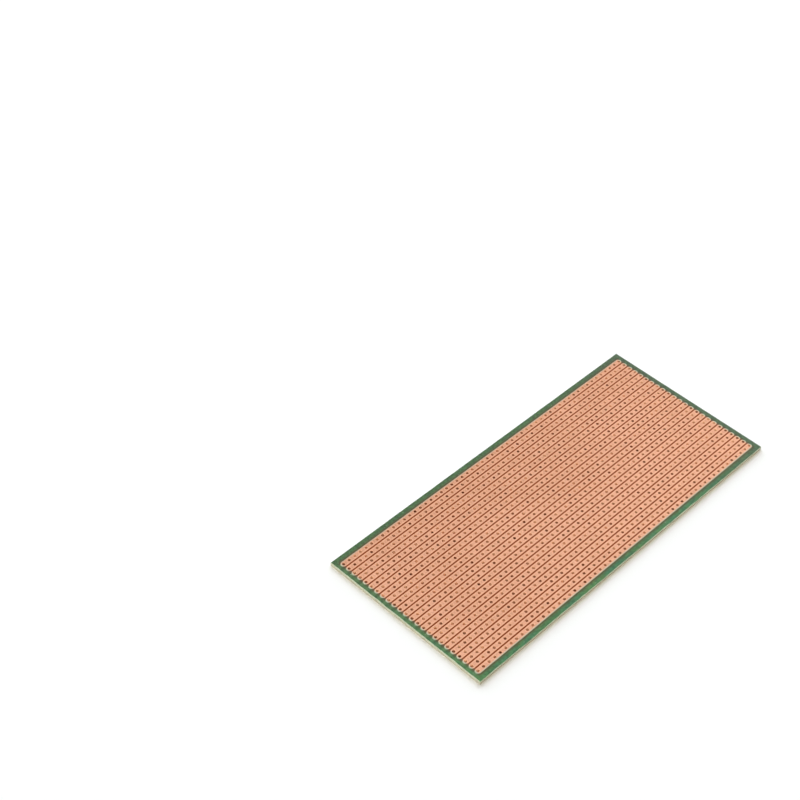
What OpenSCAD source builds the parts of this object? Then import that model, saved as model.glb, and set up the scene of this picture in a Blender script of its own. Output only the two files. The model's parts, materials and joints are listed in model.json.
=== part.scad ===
// Stripboard: a bare prototyping circuit board with parallel copper strips on one side.
// It lies flat with the copper side up and the strips along X. Lengths are in millimetres.
// The origin is at the centre of the underside, on the surface that the board rests on.

/* [Hole grid] */
// Distance between the centres of neighbouring holes, along and across the strips
pitch = 2.54; // [2:0.01:5.08]
// Diameter of a lead hole
hole_d = 1; // [0.6:0.05:1.4]
// Number of holes along each strip
holes_per_strip = 56; // [2:1:80]
// Number of strips side by side
strip_count = 24; // [2:1:40]

/* [Laminate] */
// Thickness of the insulating laminate
laminate_t = 1.2; // [0.8:0.1:3.2]
// From the centre of a strip's last hole to the end of the board
end_margin = 2.65; // [2.6:0.05:10]
// From the centre line of the outer strips to the long edge of the board
side_margin = 3.29; // [2.6:0.01:10]

/* [Copper] */
// Thickness of the copper foil
copper_t = 0.035; // [0.018:0.001:0.105]
// Width of the bare gap between neighbouring strips
strip_gap = 0.42; // [0.2:0.02:0.5]
// From the centre of a strip's last hole to the tip of its round end
end_reach = 0.94; // [0.8:0.02:1.2]

/* [Solder mask] */
// Thickness of the solder mask
mask_t = 0.025; // [0.01:0.005:0.06]
// Width of the bare line that the mask leaves round the copper
mask_clearance = 0.03; // [0.02:0.01:0.2]

/* [Hidden] */
// From the first hole to the last one, along a strip
strip_span = (holes_per_strip - 1) * pitch;
// From the first strip's centre line to the last one's
rows_span = (strip_count - 1) * pitch;
strip_w = pitch - strip_gap;
board_l = strip_span + 2 * end_margin;
board_w = rows_span + 2 * side_margin;
$fn = 32;

// Name of one strip's node, counted from the near long edge
function strip_name(i) = str("copper_strip_", i < 9 ? "0" : "", i + 1);

// Puts its children at the first hole of strip i
module at_strip(i) {
    translate([-strip_span / 2, i * pitch - rows_span / 2])
        children();
}

// A strip with round ends, whose tips lie a reach beyond the centres of its first and last holes
module strip_outline(width, reach) {
    inset = width / 2 - reach;
    translate([inset, -width / 2])
        square([strip_span - 2 * inset, width]);
    for (x = [inset, strip_span - inset])
        translate([x, 0])
            circle(d = width);
}

// The lead holes of one strip
module hole_row() {
    for (h = [0 : holes_per_strip - 1])
        translate([h * pitch, 0])
            circle(d = hole_d);
}

// The insulating board, drilled through at every point of the grid
module laminate() {
    color([0.80, 0.62, 0.40])
        linear_extrude(laminate_t)
            difference() {
                square([board_l, board_w], center = true);
                for (i = [0 : strip_count - 1])
                    at_strip(i) hole_row();
            }
}

// The green film round the copper: it reaches in between the strips' round ends,
// and the straight gaps between the strips are left bare
module solder_mask() {
    color([0.30, 0.50, 0.36])
        translate([0, 0, laminate_t])
            linear_extrude(mask_t)
                difference() {
                    square([board_l, board_w], center = true);
                    square([strip_span, rows_span], center = true);
                    for (i = [0 : strip_count - 1])
                        at_strip(i)
                            strip_outline(strip_w + 2 * mask_clearance, end_reach + mask_clearance);
                }
}

// One strip of foil, drilled together with the laminate under it
module copper_strip(i) {
    color([0.90, 0.67, 0.55])
        translate([0, 0, laminate_t])
            linear_extrude(copper_t)
                at_strip(i)
                    difference() {
                        strip_outline(strip_w, end_reach);
                        hole_row();
                    }
}

laminate();
solder_mask();
for (i = [0 : strip_count - 1])
    copper_strip(i);
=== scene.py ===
"""A bare stripboard on a plain white floor: copper strips up, seen from the near left.

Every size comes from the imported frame. The materials work in millimetres of the board's own frame.
Its ends are called left (-X) and right (+X), and its long edges near (-Y) and far (+Y).
Colours are linear RGB.
"""

import json
import math
from types import SimpleNamespace

import bpy
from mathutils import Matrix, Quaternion, Vector


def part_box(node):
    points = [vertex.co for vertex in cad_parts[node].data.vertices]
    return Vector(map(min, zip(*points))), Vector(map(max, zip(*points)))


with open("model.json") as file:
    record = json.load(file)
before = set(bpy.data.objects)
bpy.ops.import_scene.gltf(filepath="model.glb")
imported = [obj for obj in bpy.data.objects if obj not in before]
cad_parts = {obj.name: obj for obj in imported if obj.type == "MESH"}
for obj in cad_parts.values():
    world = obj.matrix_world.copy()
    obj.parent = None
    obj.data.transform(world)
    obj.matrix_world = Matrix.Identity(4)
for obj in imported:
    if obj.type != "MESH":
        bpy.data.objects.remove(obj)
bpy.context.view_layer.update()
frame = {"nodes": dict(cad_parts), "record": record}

MM = 0.001

# ---------------------------------------------------------------- the board's measures, in mm


def mount_mm(name):
    """Position of a mount from the record, in mm, and its dimensions."""
    mount = next(m for m in frame["record"]["mounts"] if m["name"] == name)
    return Vector(mount["pos_m"]) / MM, mount["dims"]


def node_box_mm(name):
    """Lowest and highest corner of a CAD node, in mm."""
    low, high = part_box(name)
    return low / MM, high / MM


STRIPS = sorted(name for name in frame["nodes"] if name.startswith("copper_strip_"))
first_hole, hole_dims = mount_mm("lead_hole_near_left")
HOLE_R = hole_dims["r_mm"]
# From the board's middle to the outer holes, along and across the strips
HALF_SPAN = abs(first_hole.x)
HALF_ROWS = abs(first_hole.y)
PITCH = 2 * HALF_ROWS / (len(STRIPS) - 1)
HOLES_PER_STRIP = round(2 * HALF_SPAN / PITCH) + 1
strip_low, strip_high = node_box_mm(STRIPS[0])
STRIP_W = strip_high.y - strip_low.y
# Where a strip's straight edges turn into its round end
HALF_STRAIGHT = strip_high.x - STRIP_W / 2
laminate_low, laminate_high = node_box_mm("laminate")
LAMINATE_T = laminate_high.z - laminate_low.z
HALF_L = laminate_high.x
HALF_W = laminate_high.y

# ---------------------------------------------------------------- ranges that the materials share

# Three zones, from where to where they change, in mm past a strip's straight part:
# the bare gap beside the strip gives way to the mask,
GAP_TO_MASK = (0.3, 0.8)
# the strip's tip begins,
TIP_BEGINS = (0.1, 0.7)
# and the notch between two round ends opens into the border
NOTCH_OPENS = (0.2, 1.2)
# From where to where the tip ends, in mm off the strip's centre line
TIP_ENDS = (0.3, 1.0)
# Step between the hole numbers of neighbouring rows: more than the holes in a row
ROW_STEP = 100.0
# How far to either side of the board's middle one half's value blends into the other's, in mm
HALVES_BLEND = 1.0
# How far inside the board's outline a wall still counts as a cut edge, in mm
CUT_DEPTH = 0.05
# Where most of a noise's values lie
NOISE_RANGE = (0.3, 0.7)

# ---------------------------------------------------------------- node helpers


class Nodes:
    """Builds nodes in one node tree. A method's answer is the socket that carries its result."""

    def __init__(self, tree):
        self.nodes = tree.nodes
        self.links = tree.links

    def put(self, socket, value):
        """Links a socket, or sets a plain value."""
        if isinstance(value, bpy.types.NodeSocket):
            self.links.new(value, socket)
        else:
            socket.default_value = value

    def math(self, operation, *values):
        """What a Math node makes of one, two or three values."""
        node = self.nodes.new("ShaderNodeMath")
        node.operation = operation
        for socket, value in zip(node.inputs, values):
            self.put(socket, value)
        return node.outputs[0]

    def add(self, a, b):
        return self.math("ADD", a, b)

    def subtract(self, a, b):
        return self.math("SUBTRACT", a, b)

    def multiply(self, a, b):
        return self.math("MULTIPLY", a, b)

    def divide(self, a, b):
        return self.math("DIVIDE", a, b)

    def larger(self, a, b):
        return self.math("MAXIMUM", a, b)

    def smaller(self, a, b):
        return self.math("MINIMUM", a, b)

    def absolute(self, value):
        return self.math("ABSOLUTE", value)

    def above(self, value, limit):
        """1 where value is above the limit, else 0."""
        return self.math("GREATER_THAN", value, limit)

    def opposite(self, share):
        """1 where share is 0, and 0 where it is 1."""
        return self.subtract(1.0, share)

    def length(self, a, b):
        """Length of the vector (a, b)."""
        return self.math("SQRT", self.add(self.multiply(a, a), self.multiply(b, b)))

    def nearest(self, value, count):
        """The nearest whole number from 0 to count - 1."""
        return self.smaller(self.larger(self.math("ROUND", value), 0.0), count - 1)

    def random(self, value):
        """A random number between 0 and 1 for each value."""
        node = self.nodes.new("ShaderNodeTexWhiteNoise")
        node.noise_dimensions = "1D"
        self.put(node.inputs["W"], value)
        return node.outputs["Value"]

    def ramp(self, value, low, high, to_low=0.0, to_high=1.0):
        """Smooth step from to_low to to_high as value goes from low to high."""
        node = self.nodes.new("ShaderNodeMapRange")
        node.interpolation_type = "SMOOTHSTEP"
        self.put(node.inputs["Value"], value)
        node.inputs["From Min"].default_value = low
        node.inputs["From Max"].default_value = high
        node.inputs["To Min"].default_value = to_low
        node.inputs["To Max"].default_value = to_high
        return node.outputs["Result"]

    def fall(self, value, low, high, full=1.0):
        """Full where value is low or less, falling to 0 at high."""
        return self.ramp(value, low, high, full, 0.0)

    def fade(self, value, width, full=1.0):
        """Full where value is 0 or less, falling to 0 at width."""
        return self.fall(value, 0.0, width, full)

    def patches(self, noise, start, full, most=1.0):
        """0 where a noise is below start, rising to most where it is above full."""
        return self.ramp(noise, start, full, to_high=most)

    def halves(self, coordinate, negative, positive):
        """One number on the board's negative half, and another on its positive half."""
        return self.ramp(coordinate, -HALVES_BLEND, HALVES_BLEND, negative, positive)

    def split(self, vector):
        """The x, y and z of a vector."""
        node = self.nodes.new("ShaderNodeSeparateXYZ")
        self.put(node.inputs[0], vector)
        return node.outputs[0], node.outputs[1], node.outputs[2]

    def scaled(self, vector, factor):
        """A vector or colour times a number."""
        node = self.nodes.new("ShaderNodeVectorMath")
        node.operation = "SCALE"
        self.put(node.inputs[0], vector)
        self.put(node.inputs["Scale"], factor)
        return node.outputs[0]

    def lean(self, direction, side):
        """How far a direction leans towards a side: 1 when they are the same, 0 when square."""
        node = self.nodes.new("ShaderNodeVectorMath")
        node.operation = "DOT_PRODUCT"
        self.put(node.inputs[0], direction)
        node.inputs[1].default_value = side
        return node.outputs["Value"]

    def mix(self, share, a, b):
        """Colour a turning into colour b as share goes from 0 to 1."""
        node = self.nodes.new("ShaderNodeMix")
        node.data_type = "RGBA"
        node.clamp_factor = True
        self.put(node.inputs["Factor"], share)
        for name, value in (("A", a), ("B", b)):
            socket = next(s for s in node.inputs if s.name == name and s.type == "RGBA")
            self.put(socket, value if isinstance(value, bpy.types.NodeSocket) else (*value, 1.0))
        return next(s for s in node.outputs if s.type == "RGBA")

    def stain(self, colour, where, strength, tint):
        """The colour covered with a tint, as far as strength says where `where` is 1."""
        return self.mix(self.multiply(where, strength), colour, tint)

    def tone(self, colour, value, spread):
        """The colour made lighter and darker by spread as value goes from 0 to 1."""
        gain = self.math("MULTIPLY_ADD", value, 2 * spread, 1 - spread)
        return self.scaled(colour, gain)

    def bump(self, height, depth_mm, normal=None):
        """A normal bent by a height from 0 to 1 that stands for depth_mm."""
        node = self.nodes.new("ShaderNodeBump")
        node.inputs["Strength"].default_value = 1.0
        node.inputs["Distance"].default_value = depth_mm * MM
        self.put(node.inputs["Height"], height)
        if normal is not None:
            self.put(node.inputs["Normal"], normal)
        return node.outputs[0]

    def seen_directly(self):
        """1 for the rays that show a background: to the camera, mirrored, or through glass."""
        rays = self.nodes.new("ShaderNodeLightPath").outputs
        mirrored = self.larger(rays["Is Glossy Ray"], rays["Is Transmission Ray"])
        return self.larger(rays["Is Camera Ray"], mirrored)


class Shader(Nodes):
    """One material's nodes, with the place on the board in mm."""

    def __init__(self, name):
        self.material = bpy.data.materials.new(name)
        self.material.use_nodes = True
        super().__init__(self.material.node_tree)
        self.bsdf = self.nodes["Principled BSDF"]
        coordinates = self.nodes.new("ShaderNodeTexCoord").outputs
        self.place = self.scaled(coordinates["Object"], 1 / MM)
        self.normal = coordinates["Normal"]

    def set_input(self, name, value):
        """Links or sets one of the shader's own sockets."""
        self.put(self.bsdf.inputs[name], value)

    def stretched(self, factors):
        """The place in mm, multiplied along each axis: a noise there gets that much finer."""
        node = self.nodes.new("ShaderNodeVectorMath")
        node.operation = "MULTIPLY"
        self.put(node.inputs[0], self.place)
        node.inputs[1].default_value = factors
        return node.outputs[0]

    def noise(self, size_mm, detail=2.0, roughness=0.5, vector=None, shift=0.0):
        """Noise between 0 and 1, with blotches about size_mm across. Each shift has its own."""
        node = self.nodes.new("ShaderNodeTexNoise")
        node.noise_dimensions = "4D"
        node.inputs["W"].default_value = shift
        node.inputs["Scale"].default_value = 1 / size_mm
        node.inputs["Detail"].default_value = detail
        node.inputs["Roughness"].default_value = roughness
        self.put(node.inputs["Vector"], self.place if vector is None else vector)
        return node.outputs["Fac"]

    def grid(self):
        """Where a point lies on the board's grid: distances in mm, shares from 0 to 1."""
        x, y, _ = self.split(self.place)
        rows = self.divide(self.add(y, HALF_ROWS), PITCH)
        columns = self.divide(self.add(x, HALF_SPAN), PITCH)
        row = self.nearest(rows, len(STRIPS))
        column = self.nearest(columns, HOLES_PER_STRIP)
        across = self.multiply(self.subtract(rows, row), PITCH)
        along = self.multiply(self.subtract(columns, column), PITCH)
        # Distance past the strip's straight part, and 1 beyond the outer rows' centre lines
        past = self.larger(self.subtract(self.absolute(x), HALF_STRAIGHT), 0.0)
        outside = self.above(self.absolute(y), HALF_ROWS)
        by_centre_line = self.fall(self.absolute(across), *TIP_ENDS)
        between_ends = self.fall(past, *NOTCH_OPENS)
        return SimpleNamespace(
            # The number of the nearest row, from the near edge
            row=row,
            # A random number for each hole
            hole_random=self.random(self.add(self.multiply(row, ROW_STEP), column)),
            # Distance beyond the strip's outline, negative on the strip
            beyond_strip=self.subtract(self.length(across, past), STRIP_W / 2),
            # Distance out from the wall of the nearest hole, negative in the hole
            beyond_hole=self.subtract(self.length(along, across), HOLE_R),
            # 1 where the strip's edge meets the mask, 0 where it meets a bare gap
            by_mask=self.larger(self.ramp(past, *GAP_TO_MASK), outside),
            # 1 on and beyond the tips of the round ends
            at_tip=self.multiply(self.ramp(past, *TIP_BEGINS), by_centre_line),
            # 1 where the mask starts to reach in between two round ends
            in_notch=self.multiply(between_ends, self.opposite(outside)),
        )


# ---------------------------------------------------------------- copper

COPPER_FRESH = (0.70, 0.360, 0.231)
COPPER_TARNISHED = (0.630, 0.314, 0.192)
COPPER_PINK = (0.70, 0.370, 0.249)
COPPER_BURNISHED = (0.82, 0.445, 0.28)
# Painted highlight for the foil's edge by the mask
COPPER_EDGE_HIGHLIGHT = (0.50, 0.51, 0.37)
COPPER_ETCHED = (0.46, 0.118, 0.0)
# Drill oxide and painted shade at the hole rims
COPPER_RIM_OXIDE_AND_SHADE = (0.36, 0.125, 0.050)
COPPER_SPOT = (0.42, 0.17, 0.09)
# How much darker the copper is painted at the far edge than in the middle: painted shade
FAR_PAINTED_SHADE = 0.15
# The burnished ring round a hole: its width in mm, and its strength against the band beside a gap
RING_WIDTH = 0.45
RING_GAIN = 1.4
# From where to where that band starts and ends, in mm in from the strip's edge
BAND_STARTS = (0.05, 0.20)
BAND_ENDS = (0.25, 0.75)
# Widths in mm of the rounded and darkened etched edge and hole rim
ETCHED_WIDTH = 0.08
HOLE_RIM_WIDTH = 0.06


def copper_material():
    """Bare foil: satin, finely scrubbed and a little tarnished, with worn edges.

    It is burnished round the holes and beside the gaps, and dark along the etched edges. Painted
    shade darkens it towards the far edge and at the hole rims, and a painted highlight paints it
    pale by the mask.
    """
    s = Shader("bare_copper")
    g = s.grid()
    _, y, _ = s.split(s.place)
    from_edge = s.multiply(g.beyond_strip, -1.0)
    by_gap = s.opposite(g.by_mask)

    # Painted shade: the tarnish is pushed towards the far edge, darkening the far rows where the
    # sheen fades
    far_painted_shade = s.multiply(y, FAR_PAINTED_SHADE / HALF_W)
    cloud = s.add(s.noise(size_mm=30.0, detail=3.0, shift=1.0), far_painted_shade)
    blotch = s.noise(size_mm=3.5, detail=3.0, shift=2.0)
    grain = s.noise(size_mm=0.45, detail=3.0, roughness=0.75, shift=3.0)
    along_strip = s.stretched((0.12, 6.0, 1.0))
    scrub = s.noise(size_mm=0.5, detail=3.0, roughness=0.65, vector=along_strip, shift=4.0)
    tarnish_and_far_shade = s.patches(cloud, start=0.35, full=0.70)
    colour = s.mix(tarnish_and_far_shade, COPPER_FRESH, COPPER_TARNISHED)
    colour = s.mix(s.patches(blotch, start=0.45, full=0.75, most=0.6), colour, COPPER_PINK)
    colour = s.tone(colour, s.random(g.row), spread=0.02)
    colour = s.tone(colour, grain, spread=0.56)
    colour = s.tone(colour, scrub, spread=0.16)

    # A ring round each hole, and a band a little in from each gap, are burnished
    ring = s.multiply(s.fade(g.beyond_hole, RING_WIDTH), RING_GAIN)
    band = s.smaller(s.ramp(from_edge, *BAND_STARTS), s.fall(from_edge, *BAND_ENDS))
    burnished = s.larger(ring, s.multiply(band, by_gap))
    colour = s.stain(colour, burnished, strength=0.60, tint=COPPER_BURNISHED)
    # Painted highlight: the foil's edge is painted pale where it meets the mask, widest at the tips
    # and weakest along the far edge
    rim = s.multiply(s.fade(from_edge, width=0.50), g.by_mask)
    rim = s.multiply(rim, s.ramp(y, 0.5 * HALF_W, HALF_W, to_low=1.0, to_high=0.6))
    tip_highlight = s.multiply(s.fade(from_edge, width=0.90), g.at_tip)
    colour = s.stain(colour, s.larger(rim, tip_highlight), strength=0.95, tint=COPPER_EDGE_HIGHLIGHT)
    # The etch has darkened the edges by the gaps. The hole rims are darker too: drill oxide, with
    # painted shade at the rounded rim
    etched = s.multiply(s.fade(from_edge, ETCHED_WIDTH), by_gap)
    colour = s.stain(colour, etched, strength=0.95, tint=COPPER_ETCHED)
    hole_rim = s.fade(g.beyond_hole, HOLE_RIM_WIDTH)
    colour = s.stain(colour, hole_rim, strength=0.6, tint=COPPER_RIM_OXIDE_AND_SHADE)
    spots = s.patches(s.noise(size_mm=0.9, detail=2.0, shift=5.0), start=0.72, full=0.80)
    colour = s.stain(colour, spots, strength=0.4, tint=COPPER_SPOT)

    s.set_input("Base Color", colour)
    s.set_input("Metallic", s.ramp(spots, 0.0, 1.0, to_low=0.85, to_high=0.4))
    satin = s.noise(size_mm=1.2, detail=4.0, shift=6.0)
    s.set_input("Roughness", s.ramp(satin, *NOISE_RANGE, to_low=0.44, to_high=0.58))
    round_edge = s.ramp(from_edge, 0.0, ETCHED_WIDTH)
    round_rim = s.ramp(g.beyond_hole, 0.0, HOLE_RIM_WIDTH)
    rounded = s.bump(s.multiply(round_edge, round_rim), depth_mm=0.02)
    scrubbed = s.bump(scrub, depth_mm=0.004, normal=rounded)
    s.set_input("Normal", s.bump(grain, depth_mm=0.003, normal=scrubbed))
    return s.material


# ---------------------------------------------------------------- solder mask

MASK_GREEN = (0.055, 0.176, 0.041)
MASK_TEAL = (0.036, 0.160, 0.056)
MASK_OLIVE = (0.082, 0.170, 0.028)
# Painted sheen towards the far edge and the right end
MASK_FAR_SHEEN = (0.052, 0.122, 0.029)
MASK_RIGHT_SHEEN = (0.058, 0.106, 0.040)
MASK_BY_COPPER = (0.086, 0.060, 0.008)
MASK_IN_NOTCH = (0.180, 0.070, 0.022)
MASK_THIN = (0.100, 0.205, 0.066)
MASK_RIM = (0.42, 0.43, 0.29)
MASK_SPECK = (0.36, 0.50, 0.34)
MASK_CHIPPED = (0.56, 0.63, 0.42)
# From where to where its brownish zone by the copper fades, in mm beyond the strip's outline
BROWNISH_FADES = (0.1, 1.1)


def mask_material():
    """Screen-printed green film: semi-gloss, mottled, and chipped at the cut edges.

    It is brownish by the copper and in the notches between the round ends, and thin at the left
    end, round the strips' tips.
    """
    s = Shader("green_mask")
    g = s.grid()
    x, y, _ = s.split(s.place)

    cloud = s.noise(size_mm=9.0, detail=3.0, shift=1.0)
    blotch = s.noise(size_mm=2.2, detail=3.0, shift=2.0)
    colour = s.mix(s.patches(cloud, start=0.4, full=0.65), MASK_GREEN, MASK_TEAL)
    colour = s.mix(s.patches(blotch, start=0.5, full=0.75, most=0.7), colour, MASK_OLIVE)
    # Painted sheen: the film is painted duller and greyer towards the far edge and the right end
    colour = s.mix(s.ramp(y, -HALF_W, HALF_W, to_high=0.85), colour, MASK_FAR_SHEEN)
    colour = s.mix(s.ramp(x, 0.5 * HALF_L, HALF_L, to_high=0.85), colour, MASK_RIGHT_SHEEN)
    mottle = s.noise(size_mm=0.75, detail=3.0, roughness=0.6, shift=3.0)
    colour = s.tone(colour, s.ramp(mottle, *NOISE_RANGE), spread=0.38)

    # Next to the copper it is brownish, but not at the tips
    by_copper = s.fall(g.beyond_strip, *BROWNISH_FADES, full=0.95)
    by_copper = s.multiply(by_copper, s.opposite(g.at_tip))
    colour = s.mix(by_copper, colour, MASK_BY_COPPER)
    colour = s.stain(colour, g.in_notch, strength=0.8, tint=MASK_IN_NOTCH)
    # At the left end it is thin beyond the tips, with a pale rim along the copper
    thin = s.multiply(g.at_tip, s.halves(x, negative=0.5, positive=0.0))
    colour = s.mix(thin, colour, MASK_THIN)
    rim = s.multiply(s.fade(g.beyond_strip, width=0.30, full=0.9), g.at_tip)
    rim = s.multiply(rim, s.halves(x, negative=1.0, positive=0.0))
    colour = s.mix(rim, colour, MASK_RIM)
    specks = s.patches(s.noise(size_mm=0.55, detail=1.0, shift=4.0), start=0.70, full=0.78)
    colour = s.stain(colour, specks, strength=0.6, tint=MASK_SPECK)

    # The cuts chipped its outer edge, most at the left end and least at the right end and far edge
    spared_by_end = s.halves(x, negative=-0.05, positive=0.13)
    spared_by_side = s.halves(y, negative=0.07, positive=0.13)
    from_end = s.add(s.subtract(HALF_L, s.absolute(x)), spared_by_end)
    from_side = s.add(s.subtract(HALF_W, s.absolute(y)), spared_by_side)
    ragged = s.noise(size_mm=0.8, detail=4.0, roughness=0.7, shift=7.0)
    deepest = s.ramp(s.noise(size_mm=3.0, shift=8.0), *NOISE_RANGE, to_low=0.10, to_high=0.34)
    chip_depth = s.multiply(ragged, deepest)
    chipped = s.fade(s.subtract(s.smaller(from_end, from_side), chip_depth), width=0.05)
    colour = s.mix(chipped, colour, MASK_CHIPPED)

    s.set_input("Base Color", colour)
    gloss = s.noise(size_mm=1.5, detail=3.0, shift=5.0)
    s.set_input("Roughness", s.ramp(gloss, *NOISE_RANGE, to_low=0.34, to_high=0.50))
    s.set_input("Specular IOR Level", 0.35)
    peel = s.noise(size_mm=0.5, detail=3.0, shift=6.0)
    s.set_input("Normal", s.bump(peel, depth_mm=0.012))
    return s.material


# ---------------------------------------------------------------- laminate

# The underside, and what the drill left round the holes there
UNDER_DARK, UNDER_LIGHT = (0.52, 0.31, 0.14), (0.60, 0.38, 0.18)
UNDER_BY_HOLE = (0.72, 0.56, 0.34)
# The upper side, bare between the strips and between a strip and the mask
GAP_DARK, GAP_LIGHT = (0.205, 0.032, 0.0), (0.245, 0.044, 0.003)
GAP_BY_MASK = (0.38, 0.33, 0.19)
# The drilled walls
WALL_DARK, WALL_LIGHT = (0.40, 0.115, 0.040), (0.79, 0.41, 0.25)
# Pale walls, also painted light deep in the holes
WALL_PALE = (0.98, 0.65, 0.45)
# The cut edges
CUT_PALE, CUT_DULL = (0.57, 0.60, 0.485), (0.50, 0.49, 0.365)
# Painted shade low on the cut edges, and painted light at the ends
CUT_LOW_PAINTED_SHADE = (0.36, 0.30, 0.20)
CUT_END_PAINTED_LIGHT = (0.86, 0.85, 0.70)


def laminate_material():
    """Paper laminate: brown in the gaps, tan below, scorched in the holes, pale at the cuts; painted
    light and shade on walls and cuts.
    """
    s = Shader("paper_laminate")
    g = s.grid()
    x, y, z = s.split(s.place)
    # 1 on the two faces, on the upper one, and on the cut edges
    _, _, normal_z = s.split(s.normal)
    flat = s.ramp(s.absolute(normal_z), 0.5, 0.9)
    upper = s.ramp(z, 0.6 * LAMINATE_T, 0.9 * LAMINATE_T)
    at_end = s.above(s.absolute(x), HALF_L - CUT_DEPTH)
    at_side = s.above(s.absolute(y), HALF_W - CUT_DEPTH)
    outer = s.larger(at_end, at_side)

    along_board = s.stretched((1.0, 2.5, 1.0))
    fibre = s.noise(size_mm=0.6, detail=4.0, roughness=0.6, vector=along_board, shift=1.0)
    under = s.mix(s.noise(size_mm=6.0, shift=2.0), UNDER_DARK, UNDER_LIGHT)
    under = s.tone(under, fibre, spread=0.12)
    by_hole = s.fade(g.beyond_hole, width=0.35)
    under = s.stain(under, by_hole, strength=0.5, tint=UNDER_BY_HOLE)
    gap = s.mix(s.noise(size_mm=3.0, shift=3.0), GAP_DARK, GAP_LIGHT)
    gap = s.tone(gap, fibre, spread=0.15)
    gap = s.mix(g.by_mask, gap, GAP_BY_MASK)
    face = s.mix(upper, under, gap)

    # The walls are paler deep down, a painted light where little light reaches, and paler in the
    # near rows and by the board's ends, each hole in its own measure
    by_left = s.fall(x, -HALF_L, -0.7 * HALF_L, full=0.65)
    by_right = s.ramp(x, 0.7 * HALF_L, HALF_L, to_high=0.5)
    by_near = s.fall(y, -0.6 * HALF_W, HALF_W, full=0.38)
    deep_painted_light = s.fall(z, 0.5 * LAMINATE_T, 0.9 * LAMINATE_T)
    paleness_and_painted_light = s.larger(s.add(s.larger(by_left, by_right), by_near), deep_painted_light)
    paleness_and_painted_light = s.multiply(paleness_and_painted_light, s.ramp(g.hole_random, -0.3, 0.7))
    wall = s.mix(g.hole_random, WALL_DARK, WALL_LIGHT)
    wall = s.mix(paleness_and_painted_light, wall, WALL_PALE)
    wall = s.tone(wall, fibre, spread=0.15)

    # The cut edges show the paper's level plies, with painted shade low down, where the contact
    # shadow falls, and painted light that makes both ends palest
    along_plies = s.stretched((0.6, 0.6, 6.0))
    plies = s.noise(size_mm=0.5, detail=4.0, roughness=0.7, vector=along_plies, shift=5.0)
    cut = s.mix(s.patches(plies, start=0.35, full=0.7), CUT_PALE, CUT_DULL)
    cut = s.mix(s.fall(z, 0.0, 0.5 * LAMINATE_T, full=0.8), cut, CUT_LOW_PAINTED_SHADE)
    cut = s.stain(cut, at_end, strength=0.35, tint=CUT_END_PAINTED_LIGHT)

    side = s.mix(outer, wall, cut)
    s.set_input("Base Color", s.mix(flat, side, face))
    s.set_input("Roughness", s.ramp(fibre, *NOISE_RANGE, to_low=0.50, to_high=0.72))
    s.set_input("Specular IOR Level", 0.06)
    s.set_input("Normal", s.bump(s.mix(outer, fibre, plies), depth_mm=0.03))
    return s.material


# ---------------------------------------------------------------- dressing the CAD nodes


def dress(names, material):
    """Gives CAD nodes a material in place of their plain one."""
    for name in names:
        slots = frame["nodes"][name].data.materials
        slots.clear()
        slots.append(material)


dress(STRIPS, copper_material())
dress(["solder_mask"], mask_material())
dress(["laminate"], laminate_material())

# ---------------------------------------------------------------- camera

# Angles in degrees, lengths in mm
VIEW_AZIMUTH = -48.22
VIEW_ELEVATION = 44.14
VIEW_ROLL = 3.62
VIEW_DISTANCE = 610.6
VIEW_LENS = 78.05
VIEW_SENSOR = 36.0
# The view's centre lies beyond the board's far edge, so the board stands right of the middle
VIEW_CENTRE = Vector((-2.64, 69.55, laminate_high.z))
# What the camera sees starts and ends this far away, in metres
CLIP_START, CLIP_END = 0.01, 20.0


def make_camera():
    """A camera at the photograph's angle, which looks at VIEW_CENTRE."""
    azimuth, elevation = math.radians(VIEW_AZIMUTH), math.radians(VIEW_ELEVATION)
    # From the view's centre to the camera
    back = Vector(
        (
            math.sin(azimuth) * math.cos(elevation),
            -math.cos(azimuth) * math.cos(elevation),
            math.sin(elevation),
        )
    )
    camera = bpy.data.objects.new("camera", bpy.data.cameras.new("camera"))
    camera.data.lens = VIEW_LENS
    camera.data.sensor_width = VIEW_SENSOR
    camera.location = (VIEW_CENTRE + back * VIEW_DISTANCE) * MM
    camera.rotation_mode = "QUATERNION"
    roll = Quaternion((0.0, 0.0, 1.0), math.radians(VIEW_ROLL))
    camera.rotation_quaternion = (-back).to_track_quat("-Z", "Y") @ roll
    camera.data.clip_start, camera.data.clip_end = CLIP_START, CLIP_END
    bpy.context.scene.collection.objects.link(camera)
    bpy.context.scene.camera = camera


make_camera()

# ---------------------------------------------------------------- floor and light, in metres

WHITE = (1.0, 1.0, 1.0)
FLOOR_HALF = 4.0
FLOOR_ALBEDO = (0.98, 0.955, 0.92)
FLOOR_ROUGHNESS = 0.8
FLOOR_SPECULAR = 0.2
# A faint glow, only for rays from the camera, from mirroring surfaces or through glass
FLOOR_GLOW = 0.04
# Where most of the light comes from: behind the board's far right corner, as seen by the camera
LIGHT_SIDE = Vector((0.57, 0.82, 0.0)).normalized()
STUDIO_BRIGHT = (3.33, 3.72, 4.25)
STUDIO_DIM = (0.06, 0.04, 0.03)
# How far a direction leans towards the light's side where the studio starts and ends to brighten
STUDIO_BLEND = (0.25, 0.80)
# A wide soft fill from the camera's side, which reaches into the holes, and its blend likewise
FILL_SIDE = Vector((-0.69, -0.48, 0.54)).normalized()
FILL = (3.00, 2.84, 2.25)
FILL_BLEND = (0.84, 0.96)
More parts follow.
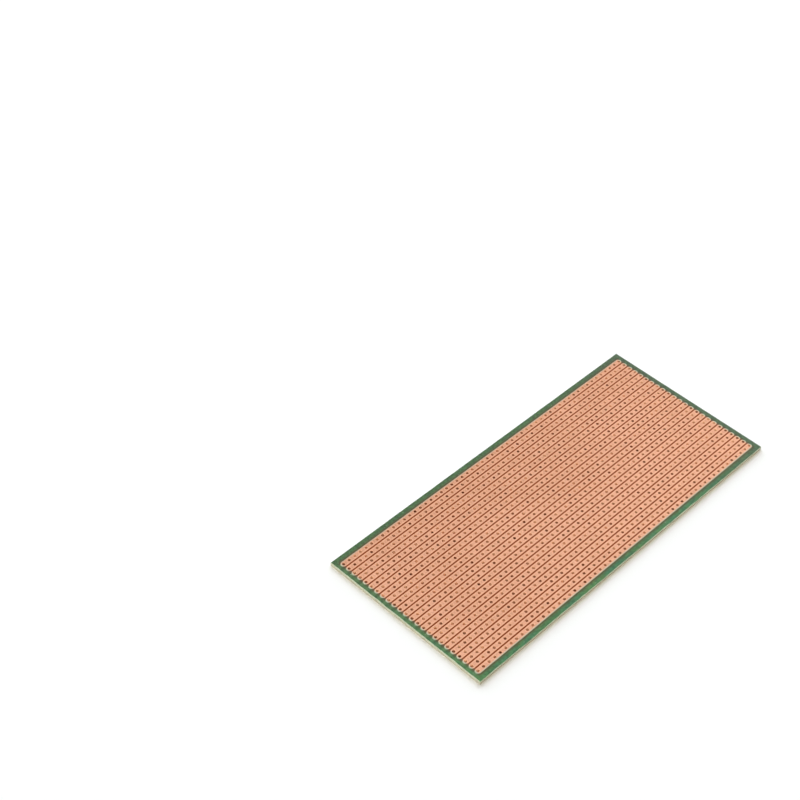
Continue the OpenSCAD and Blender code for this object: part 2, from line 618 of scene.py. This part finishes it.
# A round soft lamp, with its power in watts
KEY_SIZE = 1.0
KEY_POWER = 3.0
KEY_DISTANCE = 2.4
KEY_TOWARDS = Vector((0.76, 0.20, 0.62)).normalized()


def make_floor():
    """A plain pale floor that shows white to the camera and keeps the board's shadow."""
    mesh = bpy.data.meshes.new("floor")
    signs = ((-1, -1), (1, -1), (1, 1), (-1, 1))
    corners = [(x * FLOOR_HALF, y * FLOOR_HALF, 0.0) for x, y in signs]
    mesh.from_pydata(corners, [], [(0, 1, 2, 3)])
    floor = bpy.data.objects.new("floor", mesh)
    bpy.context.scene.collection.objects.link(floor)
    s = Shader("white_floor")
    s.set_input("Base Color", (*FLOOR_ALBEDO, 1.0))
    s.set_input("Roughness", FLOOR_ROUGHNESS)
    s.set_input("Specular IOR Level", FLOOR_SPECULAR)
    s.set_input("Emission Color", (*WHITE, 1.0))
    s.set_input("Emission Strength", s.multiply(s.seen_directly(), FLOOR_GLOW))
    mesh.materials.append(s.material)


def make_key_light():
    """A weak soft lamp beyond the board's right end, which gives the films their sheen."""
    lamp = bpy.data.lights.new("key", "AREA")
    lamp.shape = "DISK"
    lamp.size = KEY_SIZE
    lamp.energy = KEY_POWER
    key = bpy.data.objects.new("key", lamp)
    key.location = KEY_TOWARDS * KEY_DISTANCE
    key.rotation_mode = "QUATERNION"
    key.rotation_quaternion = (-KEY_TOWARDS).to_track_quat("-Z", "Y")
    bpy.context.scene.collection.objects.link(key)


def make_world():
    """A pale studio: bright behind the board, with a soft fill, and white as a background."""
    world = bpy.data.worlds.new("studio")
    world.use_nodes = True
    s = Nodes(world.node_tree)
    direction = s.nodes.new("ShaderNodeTexCoord").outputs["Generated"]
    bright = s.ramp(s.lean(direction, LIGHT_SIDE), *STUDIO_BLEND)
    light = s.mix(bright, STUDIO_DIM, STUDIO_BRIGHT)
    light = s.mix(s.ramp(s.lean(direction, FILL_SIDE), *FILL_BLEND), light, FILL)
    s.put(s.nodes["Background"].inputs["Color"], s.mix(s.seen_directly(), light, WHITE))
    bpy.context.scene.world = world


make_floor()
make_key_light()
make_world()
bpy.context.scene.view_settings.view_transform = "Standard"
